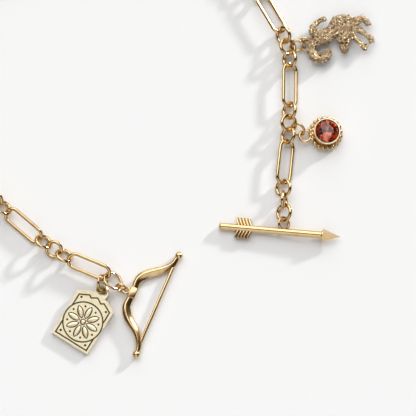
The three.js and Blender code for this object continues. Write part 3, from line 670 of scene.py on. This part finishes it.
def line_outline(grow):
    """The frame line's outline, larger by a margin on every side."""
    foot = [(LINE_BOTTOM, -LINE_SIDE), (LINE_BOTTOM, LINE_SIDE)]
    points = np.array([*foot, *TOP_LINE, *[(x, -y) for x, y in reversed(TOP_LINE[:-1])]])
    runs = np.roll(points, -1, 0) - points
    normals = np.stack((runs[:, 1], -runs[:, 0]), 1) / np.linalg.norm(runs, axis=1, keepdims=True)
    before = np.roll(normals, 1, 0)
    miter = (normals + before) / (1 + (normals * before).sum(1, keepdims=True))
    return (points + miter * grow).tolist()


def ring_cutter(name, outer, inner, material):
    piece = slab(name, outer, CUT_FLOOR, CUT_TOP, material)
    return combined(piece, [slab("core", inner, CUT_FLOOR - 1, CUT_TOP + 1, material)], "DIFFERENCE")


frame_line = ring_cutter("frame_line", line_outline(GROOVE / 2), line_outline(-GROOVE / 2), patina)
field, field_edge = round_outline(FIELD_X, 0, FIELD_R), round_outline(FIELD_X, 0, FIELD_R + GROOVE)
combined(frame_line, [slab("field", field, -1, 3, patina)], "DIFFERENCE")
combined(plate, [frame_line, ring_cutter("round_line", field_edge, field, patina)], "DIFFERENCE")
studs = []
for x in STUD_XS:
    for side in (1, -1):
        studs.append(ball("stud", x, side * STUD_Y, PLATE_T + 0.02, STUD, 16))
        studs[-1].data.materials.append(patina)
combined(plate, studs, "DIFFERENCE")
print("engraved plate faces", len(plate.data.polygons))

# %% [markdown]
# ## The rosette
#
# The rosette has eight petals round a boss. Each petal is first cut as a dark bed, a little larger than the
# petal, and then the petal itself is set into it, domed and bright: it is in the satin gold whose paler colour
# is a painted highlight. What stays dark round it reads as an engraved outline. A dome is the top face drawn
# in twice, each time a little higher. Last, the plate's outer sides get the darker gold, which is painted shade.

# %% Rosette
def petal_outline(start, length, width, turn, count=28):
    points = []
    for i in range(count):
        t = 2 * math.pi * i / count
        x = start + length / 2 * (1 + math.cos(t))
        y = width / 2 * math.copysign(abs(math.sin(t)) ** 1.5, math.sin(t))
        points.append((FIELD_X + x * math.cos(turn) - y * math.sin(turn), x * math.sin(turn) + y * math.cos(turn)))
    return points


def gathered(pieces):
    """Several objects made one, each still a shell of its own."""
    bpy.ops.object.select_all(action="DESELECT")
    for piece in pieces:
        piece.select_set(True)
    bpy.context.view_layer.objects.active = pieces[0]
    bpy.ops.object.join()
    return pieces[0]


def domed(piece, rise):
    for share, lift in ((0.78, 0.7), (0.6, 0.3)):
        picked(piece, "FACE", lambda f: f.normal.z > 0.9 and len(f.verts) > 8)
        bpy.ops.mesh.extrude_region_move(TRANSFORM_OT_translate={"value": (0, 0, lift * rise * MM)})
        bpy.ops.transform.resize(value=(share, share, 1))
        closed_edit()
    return piece


PETALS, PETAL_ROOT = 8, 0.7
BED_START, BED_LENGTH, BED_WIDTH = 0.78, 3.0, 1.44
PETAL_START, PETAL_LENGTH, PETAL_WIDTH = 1.02, 2.5, 0.92
DOT_R, DOT_CIRCLE, BOSS_BED_R, BOSS_R = 0.24, 3.45, 0.68, 0.44
EDGE_BAND = 0.2


def bed(name, outline):
    return slab(name, outline, CUT_FLOOR, CUT_TOP, patina)


def on_rim(face):
    x, y, z = face.center / MM
    outer = abs(y) > half - EDGE_BAND or x < LUG_RISE or x > bottom - EDGE_BAND
    return outer and 0 < z < PLATE_T + 0.001 and abs(face.normal.z) < 0.97


# The petals and the boss are in the paler satin gold, a painted highlight.
beds, petals = [], []
for number in range(PETALS):
    turn = 2 * math.pi * number / PETALS
    beds.append(bed("bed", petal_outline(BED_START, BED_LENGTH, BED_WIDTH, turn)))
    outline = petal_outline(PETAL_START, PETAL_LENGTH, PETAL_WIDTH, turn)
    petals.append(domed(slab("petal", outline, PETAL_ROOT, PLATE_T - 0.02, painted_highlight_gold), 0.1))
    between = turn + math.pi / PETALS
    x, y = FIELD_X + DOT_CIRCLE * math.cos(between), DOT_CIRCLE * math.sin(between)
    beds.append(bed("dot", round_outline(x, y, DOT_R, 16)))
beds.append(bed("boss_bed", round_outline(FIELD_X, 0, BOSS_BED_R, 32)))
petals.append(domed(slab("boss", round_outline(FIELD_X, 0, BOSS_R, 24), PETAL_ROOT, PLATE_T, painted_highlight_gold), 0.12))
combined(plate, [gathered(beds)], "DIFFERENCE")
combined(plate, [gathered(petals)])
# The plate's outer sides get the darker gold, which is painted shade.
plate.data.materials.append(painted_shade_gold)
painted_shade_slot = len(plate.data.materials) - 1
for face in plate.data.polygons:
    if on_rim(face) and plate.data.materials[face.material_index] == painted_highlight_gold:
        face.material_index = painted_shade_slot
settled(plate, PLATE_PLACE)
smooth(plate, 30)
shown(plate, ["plate"], "gold")
print("plate faces", len(plate.data.polygons), "materials", [m.name for m in plate.data.materials])

# %% [markdown]
# ## The red stone and its setting
#
# The setting is a cup with a thin bright edge on a base that is rimmed with beads, and a flat loop. The edge's
# paler colour is a painted highlight. The cup is a cylinder whose top is inset and pushed down, first straight
# for the stone's edge and then to a cone for its back. The beads stand half in the base's edge, as a rolled
# bead wire would.

# %% Setting
STONE_D, CUP_TOP, BASE_T, BEADS = 5.0, 3.1, 0.8, 20
CUP_WALL, CUP_EDGE, SEAT_DEEP, CONE_DEEP = 0.4, 0.28, 0.35, 1.9
BEAD, BEAD_HEIGHT, BEAD_CIRCLE = 1.04, 0.62, 3.37
CRYSTAL_LOOP = 3.1
REACH = BEAD_CIRCLE + (CRYSTAL_LOOP - JUMP_WIRE) / 2
CRYSTAL_PLACE = on_table(21.382, 15.899, 0.75, yaw=8, pitch=5.369)
cup = started(
    "crystal_setting_cast", bpy.ops.mesh.primitive_cylinder_add, vertices=64,
    radius=(STONE_D / 2 + CUP_WALL) * MM, depth=CUP_TOP * MM, location=(0, 0, CUP_TOP / 2 * MM),
)
settled(cup)
picked(cup, "FACE", lambda f: f.normal.z > 0.9)
bpy.ops.mesh.inset(thickness=CUP_EDGE * MM, depth=0)
bpy.ops.mesh.extrude_region_move(TRANSFORM_OT_translate={"value": (0, 0, -SEAT_DEEP * MM)})
bpy.ops.mesh.extrude_region_move(TRANSFORM_OT_translate={"value": (0, 0, -CONE_DEEP * MM)})
bpy.ops.transform.resize(value=(0.12, 0.12, 1))
closed_edit()
applied(cup, "BEVEL", width=0.13 * MM, segments=4, limit_method="ANGLE", angle_limit=math.radians(50))
base = started(
    "base", bpy.ops.mesh.primitive_cylinder_add, vertices=64, radius=(BEAD_CIRCLE - 0.2) * MM, depth=BASE_T * MM,
    location=(0, 0, BASE_T / 2 * MM),
)
settled(base)
applied(base, "BEVEL", width=0.1 * MM, segments=3, limit_method="ANGLE", angle_limit=math.radians(50))
beads = []
for number in range(BEADS):
    turn = 2 * math.pi * number / BEADS
    x, y = BEAD_CIRCLE * math.cos(turn), BEAD_CIRCLE * math.sin(turn)
    beads.append(ball("bead", x, y, BEAD_HEIGHT, BEAD, 20))
combined(cup, [base, *beads])
cup.data.materials.clear()
cup.data.materials.append(gold)
cup.data.materials.append(painted_highlight_gold)
# The cup's top edge gets the paler satin gold, a painted highlight.
for face in cup.data.polygons:
    face.material_index = 1 if face.center.z > (CUP_TOP - 0.15) * MM else 0
settled(cup, at(REACH, 0, 0))
combined(cup, [loop("crystal_loop", CRYSTAL_LOOP, JUMP_WIRE, at(0, 0, BASE_T - JUMP_WIRE / 2))])
settled(cup, CRYSTAL_PLACE)
shown(smooth(cup, 40), ["crystal_setting"], "gold")
print("setting faces", len(cup.data.polygons))

# %% [markdown]
# ## The stone
#
# The stone is a round brilliant. Its corners are rings of points, and the facets are the hull that spans
# them, as a cutter's plan has it: a table, stars, mains and girdle facets above, and mains below. The back
# is foiled, so light that goes in through the clear red crown is thrown out again by the mirror behind.
# Each facet of the foil is painted a tone of its own, a painted reflection, because in a real stone no two of
# them send back the same part of the room; the ones round the tip are painted greyer.

# %% Stone
CROWN, GIRDLE, PAVILION, TABLE_D = 0.75, 0.15, 1.9, 2.7
RINGS = [
    (8, TABLE_D / 2, GIRDLE + CROWN, 0.5),
    (8, (TABLE_D + STONE_D) / 4, GIRDLE + CROWN * 0.62, 0.0),
    (16, STONE_D / 2, GIRDLE, 0.0),
    (16, STONE_D / 2, 0.0, 0.0),
    (16, STONE_D * 0.25, -PAVILION * 0.56, 0.5),
    (8, 0.05, -PAVILION, 0.0),
]
stone = started("crystal_brilliant", bpy.ops.mesh.primitive_circle_add, vertices=8, radius=MM)
bpy.ops.object.mode_set(mode="EDIT")
bpy.ops.mesh.select_all(action="SELECT")
bpy.ops.mesh.delete(type="VERT")
for count, radius, height, shift in RINGS:
    bpy.ops.mesh.primitive_circle_add(
        vertices=count, radius=radius * MM, location=(0, 0, height * MM),
        rotation=(0, 0, 2 * math.pi * shift / count),
    )
bpy.ops.mesh.select_all(action="SELECT")
bpy.ops.mesh.convex_hull()
bpy.ops.mesh.dissolve_limited(angle_limit=math.radians(1))
bpy.ops.mesh.normals_make_consistent(inside=False)
closed_edit()
print("stone facets", len(stone.data.polygons))

# %% [markdown]
# ## Red glass over a foil
#
# The crown is clear red glass. The foil behind is a metal mirror, so it is a second material on the facets
# that look down. Its painted reflections, a brightness for each facet and grey round the tip, are stored on
# the facets themselves.

# %% Glass and foil
# Painted reflections: how bright each foil facet is painted, going round the stone.
PAINTED_FACET_REFLECTIONS = (0.15, 0.9, 0.35, 1.0, 0.05, 0.7, 0.95, 0.3)
glass, sheet, place = new_material("crystal_red")
flaw = sheet.noise(place, 1.2, 2.0)
glass_shader = sheet.node("ShaderNodeBsdfPrincipled", None, {
    "Base Color": sheet.mix(sheet.step(flaw, 0.3, 0.7), colour(0.96, 0.58, 0.46), colour(0.94, 0.48, 0.36)),
    "Roughness": 0.01 + flaw * 0.02, "IOR": 1.6, "Transmission Weight": 1.0,
}).out()
finish_material(sheet, glass_shader)
foil, sheet, place = new_material("crystal_foil")
facet = sheet.node("ShaderNodeAttribute", {"attribute_name": "facet_tone"}).out("Fac")
inner = sheet.node("ShaderNodeAttribute", {"attribute_name": "facet_inner"}).out("Fac")
crease = sheet.noise(place, 2.2, 2.0)
# The foil's colour is painted reflection: bright or dark per facet, and greyer round the tip.
foil_painted_reflection = sheet.mix(facet + crease * 0.3 - 0.15, colour(0.34, 0.05, 0.03), colour(1.0, 0.46, 0.24))
foil_painted_reflection = sheet.mix(inner * 0.8, foil_painted_reflection, colour(0.58, 0.42, 0.43))
foil_shader = sheet.node("ShaderNodeBsdfPrincipled", None, {
    "Base Color": foil_painted_reflection, "Metallic": 1.0, "Roughness": 0.06 + crease * 0.08,
}).out()
finish_material(sheet, foil_shader)
tones = stone.data.attributes.new("facet_tone", "FLOAT", "FACE")
painted_grey_facets = stone.data.attributes.new("facet_inner", "FLOAT", "FACE")
stone.data.materials.append(glass)
stone.data.materials.append(foil)
# Each facet gets its painted reflection, and the ones round the tip are painted greyer.
for face in stone.data.polygons:
    turn = math.atan2(face.center.y, face.center.x) / math.tau * 16
    tones.data[face.index].value = PAINTED_FACET_REFLECTIONS[round(turn) % len(PAINTED_FACET_REFLECTIONS)]
    painted_grey_facets.data[face.index].value = 1.0 if face.center.z < -PAVILION * 0.6 * MM else 0.0
    face.material_index = 1 if face.normal.z < -0.1 else 0
settled(stone, CRYSTAL_PLACE @ at(REACH, 0, CUP_TOP - GIRDLE))
shown(stone, ["crystal_stone"], "stone")
print("foiled facets", sum(face.material_index == 1 for face in stone.data.polygons))

# %% [markdown]
# ## The wolf
#
# A small cast animal in full leap. The wax for it was built up in lumps and combed into locks with a hot
# needle. The same is done here, and the lumps come first: each limb is a row of sections, given as shares of
# the animal's length, with a smooth hull round each two that follow each other.

# %% Wolf body
WOLF, WOLF_THICK = 15.6, 2.9
WOLF_PLACE = on_table(21.793, 36.21, 1.45, yaw=6)
WOLF_LOOP = 2.4
LIMBS = {
    "body": [(0.25, 0.1, 0.11), (0.38, 0.15, 0.09), (0.51, 0.27, 0.135), (0.62, 0.26, 0.12)],
    "neck": [(0.6, 0.24, 0.115), (0.555, 0.09, 0.088), (0.545, 0.01, 0.078)],
    "muzzle": [(0.545, 0.0, 0.066), (0.54, -0.085, 0.052), (0.537, -0.115, 0.05)],
    "near_ear": [(0.495, 0.04, 0.046), (0.41, 0.075, 0.013)],
    "far_ear": [(0.595, 0.03, 0.046), (0.675, 0.07, 0.013)],
    "tail": [
        (0.2, 0.06, 0.06), (0.09, 0.02, 0.05), (0.06, -0.08, 0.058), (0.115, -0.175, 0.072), (0.2, -0.2, 0.07),
        (0.28, -0.17, 0.06), (0.335, -0.1, 0.03),
    ],
    "near_hind": [(0.22, 0.08, 0.08), (0.12, 0.07, 0.045), (0.03, 0.1, 0.032), (-0.05, 0.115, 0.036)],
    "far_hind": [
        (0.22, 0.13, 0.09), (0.11, 0.2, 0.045), (0.12, 0.28, 0.036), (0.21, 0.34, 0.03), (0.31, 0.375, 0.032),
    ],
    "far_fore": [
        (0.66, 0.25, 0.09), (0.75, 0.29, 0.055), (0.84, 0.32, 0.04), (0.9, 0.275, 0.038), (0.91, 0.23, 0.03),
    ],
    "near_fore": [(0.67, 0.21, 0.09), (0.78, 0.16, 0.05), (0.86, 0.09, 0.036), (0.94, 0.005, 0.042)],
    "lifted_fore": [(0.63, 0.15, 0.07), (0.7, 0.05, 0.038), (0.78, -0.05, 0.03), (0.83, -0.12, 0.034)],
    "toe_1": [(0.8, -0.06, 0.028), (0.88, -0.075, 0.016)],
    "toe_2": [(0.93, 0.02, 0.03), (0.965, -0.03, 0.016)],
    "toe_3": [(0.92, 0.01, 0.03), (0.915, -0.045, 0.016)],
    "toe_4": [(0.9, 0.27, 0.03), (0.945, 0.225, 0.016)],
    "toe_5": [(-0.04, 0.11, 0.03), (-0.075, 0.08, 0.018)],
}
FLATTEN = WOLF_THICK / 2 / (0.135 * WOLF)


def hulled(name, first, second):
    """A smooth lump round two sections of a limb."""
    piece = started(name, bpy.ops.mesh.primitive_circle_add, vertices=3, radius=MM)
    bpy.ops.object.mode_set(mode="EDIT")
    bpy.ops.mesh.select_all(action="SELECT")
    bpy.ops.mesh.delete(type="VERT")
    for x, y, radius in (first, second):
        size = radius * WOLF * MM
        bpy.ops.mesh.primitive_uv_sphere_add(
            segments=20, ring_count=12, radius=size, location=(x * WOLF * MM, y * WOLF * MM, 0),
            scale=(1, 1, FLATTEN),
        )
    bpy.ops.mesh.select_all(action="SELECT")
    bpy.ops.mesh.convex_hull()
    closed_edit()
    return piece


lumps = [
    hulled("lump", first, second) for sections in LIMBS.values() for first, second in zip(sections, sections[1:])
]
print("lumps", len(lumps))

# %% [markdown]
# ## Locks of fur
#
# The combed fur is hundreds of short pointed locks in rows round each limb. They run from the thick end to
# the thin one, each turned and sized a little differently. One cone is the pattern, and each lock is a copy
# of its mesh, turned to its own heading. The ears stay bare.

# %% Locks of fur
ROW_STEP, LOCK_STEP = 0.42, 0.34
pattern = started(
    "lock", bpy.ops.mesh.primitive_cone_add, vertices=6, radius1=0.2 * MM, radius2=0.01 * MM, depth=1.0 * MM,
)
settled(pattern, Matrix.Translation((0.25 * MM, 0, 0)) @ Matrix.Rotation(math.pi / 2, 4, "Y"))
locks = []
count = 0
for name, sections in LIMBS.items():
    if "ear" in name:
        continue
    for first, second in zip(sections, sections[1:]):
        start, end = (Vector((s[0], s[1], 0)) * WOLF for s in (first, second))
        run = (end - start).normalized()
        side = Vector((-run.y, run.x, 0))
        rows = max(2, round((end - start).length / ROW_STEP))
        for row in range(rows):
            share = (row + 0.5) / rows
            radius = (first[2] + (second[2] - first[2]) * share) * WOLF
            across = max(5, round(math.pi * radius / LOCK_STEP))
            for k in range(across + 1):
                count += 1
                wobble = math.sin(count * 12.9898) * 43758.5453 % 1 - 0.5
                other = math.sin(count * 78.233) * 12543.123 % 1 - 0.5
                angle = math.pi * (k + 0.5 * (row % 2)) / (across + 0.5) + wobble * 0.2
                out = side * math.cos(angle) + Vector((0, 0, FLATTEN)) * math.sin(angle)
                place = start.lerp(end, share) + out * radius * (0.97 + 0.05 * other) + run * wobble * 0.2
                heading = (run + out * 0.22 + side * other * 0.5).normalized()
                level = out.normalized().cross(heading).normalized()
                size = (0.8 + 0.5 * (other + 0.5)) * min(1.15, 0.45 + radius * 0.55)
                axes = [heading * size, level * size * 1.15, heading.cross(level) * size * 0.8]
                matrix = Matrix(axes).transposed().to_4x4()
                matrix.translation = place * MM
                copy = pattern.data.copy()
                copy.transform(matrix)
                locks.append(bpy.data.objects.new("lock", copy))
bpy.data.objects.remove(pattern)
for piece in locks:
    bpy.context.collection.objects.link(piece)
print("locks", len(locks))

# %% [markdown]
# ## Melted into one skin
#
# In the mould all of this is one body. A voxel remesh melts lumps and locks together, a fine displacement
# gives the cast metal its grit, and a little smoothing takes off the sharpest grains. Eyes and nostrils are
# pits, drilled by small balls. What would dip into the table is cut off flat.

# %% Melted into one skin
EYES_AND_NOSTRILS = [(0.512, -0.02, 0.6), (0.572, -0.02, 0.6), (0.522, -0.125, 0.384), (0.55, -0.125, 0.384)]
PIT_HEIGHT, LOWEST = 0.74, 0.02
wolf = lumps[0]
gathered([*lumps, *locks])
wolf.name = wolf.data.name = "wolf_casting"
applied(wolf, "REMESH", mode="VOXEL", voxel_size=0.085 * MM)
grit = bpy.data.textures.new("cast_grit", "CLOUDS")
grit.noise_scale, grit.noise_depth = 0.42 * MM, 2
applied(wolf, "DISPLACE", texture=grit, texture_coords="LOCAL", strength=0.38 * MM, mid_level=0.5)
applied(wolf, "SMOOTH", factor=0.3, iterations=1)
pits = [ball("pit", x * WOLF, y * WOLF, PIT_HEIGHT, size, 14) for x, y, size in EYES_AND_NOSTRILS]
combined(wolf, pits, "DIFFERENCE")
settled(wolf, WOLF_PLACE)
low = min(v.co.z for v in wolf.data.vertices)
picked(wolf, "FACE", lambda f: True)
bpy.ops.mesh.bisect(plane_co=(0, 0, LOWEST * MM), plane_no=(0, 0, 1), use_fill=True, clear_inner=True)
closed_edit()
print("wolf faces", len(wolf.data.polygons), "lowest before the cut, in mm", round(low / MM, 3))

# %% [markdown]
# ## The wolf's finish
#
# The fur is painted darker on the flanks that turn away from the top, which is painted shade. It is also darker
# in the hollows and in the low spots of its bump. Pointiness finds the hollows, the height of the normal finds
# the flanks, and the noise that bumps the fur finds the low spots. The loop is united last, so that its wire
# stays smooth.

# %% Wolf finish
fur, sheet, place = new_material("gold_fur")
tuft = sheet.noise(place, 2.1, 3.0, 0.6)
speck = sheet.noise(place, 5.0, 2.0, 0.6)
patch = sheet.noise(place, 1.1, 2.0)
hollow = sheet.node("ShaderNodeNewGeometry").out("Pointiness")
level = sheet.node("ShaderNodeSeparateXYZ", None, {0: sheet.node("ShaderNodeNewGeometry").out("Normal")}).out("Z")
# Painted shade: darker where the normal turns away from the top.
painted_underside_shade = 1 - sheet.step(level, 0.1, 0.62)
# The painted shade, plus darker hollows and darker low spots of the fur's bump.
painted_shade_and_dark_hollows = painted_underside_shade * 0.55 + (1 - sheet.step(hollow, 0.43, 0.52)) * 0.9 + (1 - sheet.step(tuft, 0.38, 0.48)) * 0.7
tone = sheet.mix(sheet.step(patch, 0.35, 0.7), colour(0.9, 0.74, 0.50), colour(0.66, 0.44, 0.22))
tone = sheet.mix(painted_shade_and_dark_hollows.math("MINIMUM", 0.95), tone, colour(0.075, 0.026, 0.005))
height = tuft * 0.5 + speck * 0.12
bump = sheet.node("ShaderNodeBump", None, {"Strength": 1.0, "Distance": MM, "Height": height}).out()
fur_shader = sheet.node("ShaderNodeBsdfPrincipled", None, {
    "Base Color": tone, "Metallic": 1.0, "Roughness": 0.06 + speck * 0.2, "Normal": bump,
}).out()
finish_material(sheet, fur_shader)
combined(wolf, [loop("wolf_loop", WOLF_LOOP, THIN_WIRE, WOLF_PLACE)])
only(wolf)
bpy.ops.object.shade_smooth()
shown(wolf, ["wolf"], "fur_gold", fur)
print("finished wolf faces", len(wolf.data.polygons))

# %% [markdown]
# ## The table
#
# The table is a plain near-white sheet, as matt as paper. It lies a hair below the bracelet's lowest point,
# so that no face of the two falls together.

# %% Table
table, sheet, place = new_material("table_white")
tooth = sheet.noise(place, 0.5, 4.0)
table_shader = sheet.node("ShaderNodeBsdfPrincipled", None, {
    "Base Color": sheet.mix(tooth, colour(0.928, 0.93, 0.935), colour(0.934, 0.936, 0.94)),
    "Roughness": 0.8 + tooth * 0.1, "Specular IOR Level": 0.1,
}).out()
finish_material(sheet, table_shader)
floor = started("table", bpy.ops.mesh.primitive_plane_add, size=3.0, location=(0, 0, -0.01 * MM))
settled(floor)
floor.data.materials.append(table)
print("table", [round(side, 2) for side in floor.dimensions], "m")

# %% [markdown]
# ## The reflectors overhead
#
# Gold shows what it reflects, so the studio's ceiling is drawn as a sky, in the directions east, north and
# up. A bright box hangs to the north and a dimmer one to the south, with a dark strip between them that
# makes the thin dark line along every wire. A dark flag in the east shades the right sides, and the sky
# darkens low down in the east and west, which gives the links their brown edges. The dim parts are warm,
# as walls are.

# %% Sky of reflectors
world = bpy.data.worlds.new("studio")
bpy.context.scene.world = world
world.use_nodes = True
sheet = Sheet(world.node_tree)
direction = sheet.node("ShaderNodeSeparateXYZ", None, {0: sheet.node("ShaderNodeTexCoord").out("Generated")})
east, north, up = (direction.out(axis) for axis in ("X", "Y", "Z"))
side = east.math("ABSOLUTE")
dome = sheet.step(up, 0.48, 0.6)
across = sheet.step(east, -0.74, -0.68) * (1 - sheet.step(east, 0.44, 0.5))
north_box = sheet.step(north, 0.12, 0.15) * across
south_box = (1 - sheet.step(north, -0.19, -0.15)) * across
far_east = east.math("MAXIMUM", 0.0)
off_strip = (north + 0.1 - east * 0.15).math("ABSOLUTE") - far_east * 0.22
strip = (1 - sheet.step(off_strip, 0.14, 0.17)) * (1 - sheet.step(side, 0.78, 0.86))
flag = sheet.step(east, 0.54, 0.58) * (1 - sheet.step(east, 0.74, 0.78))
low = 1 - sheet.step(side, 0.3, 0.42)
dome = dome.math("MAXIMUM", low * sheet.step(up, 0.05, 0.2))
sky = 0.24 + north_box * 1.89 + south_box * 0.7
sky = sky * dome * (1 - strip * 0.98) * (1 - flag * 0.95) + 0.04
warmth = sheet.mix(sheet.step(sky, 0.2, 1.1), colour(1.0, 0.76, 0.46), colour(0.985, 0.998, 1.01))
background = sheet.node("ShaderNodeBackground", None, {"Color": warmth, "Strength": sky}).out()
sheet.node("ShaderNodeOutputWorld", None, {"Surface": background})

print("sky nodes", len(world.node_tree.nodes))

# %% [markdown]
# ## The key light
#
# One low soft light from behind and to the right draws the long pale shadows. It gives about a fifth of the
# light on the table, and the sky fills the rest.

# %% Key light
KEY_ELEVATION, KEY_AZIMUTH = math.radians(16.5), math.radians(42)
bpy.ops.object.select_all(action="DESELECT")
bpy.ops.object.light_add(type="SUN", location=(0.2, 0.2, 0.2))
key = bpy.context.object
key.data.energy, key.data.angle = 2.15, math.radians(5)
from_light = Vector((
    math.cos(KEY_ELEVATION) * math.cos(KEY_AZIMUTH),
    math.cos(KEY_ELEVATION) * math.sin(KEY_AZIMUTH),
    math.sin(KEY_ELEVATION),
))
key.rotation_mode = "QUATERNION"
key.rotation_quaternion = from_light.to_track_quat("Z", "Y")
bpy.context.scene.view_settings.view_transform = "Standard"
print("key light from", [round(v, 2) for v in from_light])

# %% [markdown]
# ## The end of the scene
#
# Then the frame takes the scene over.
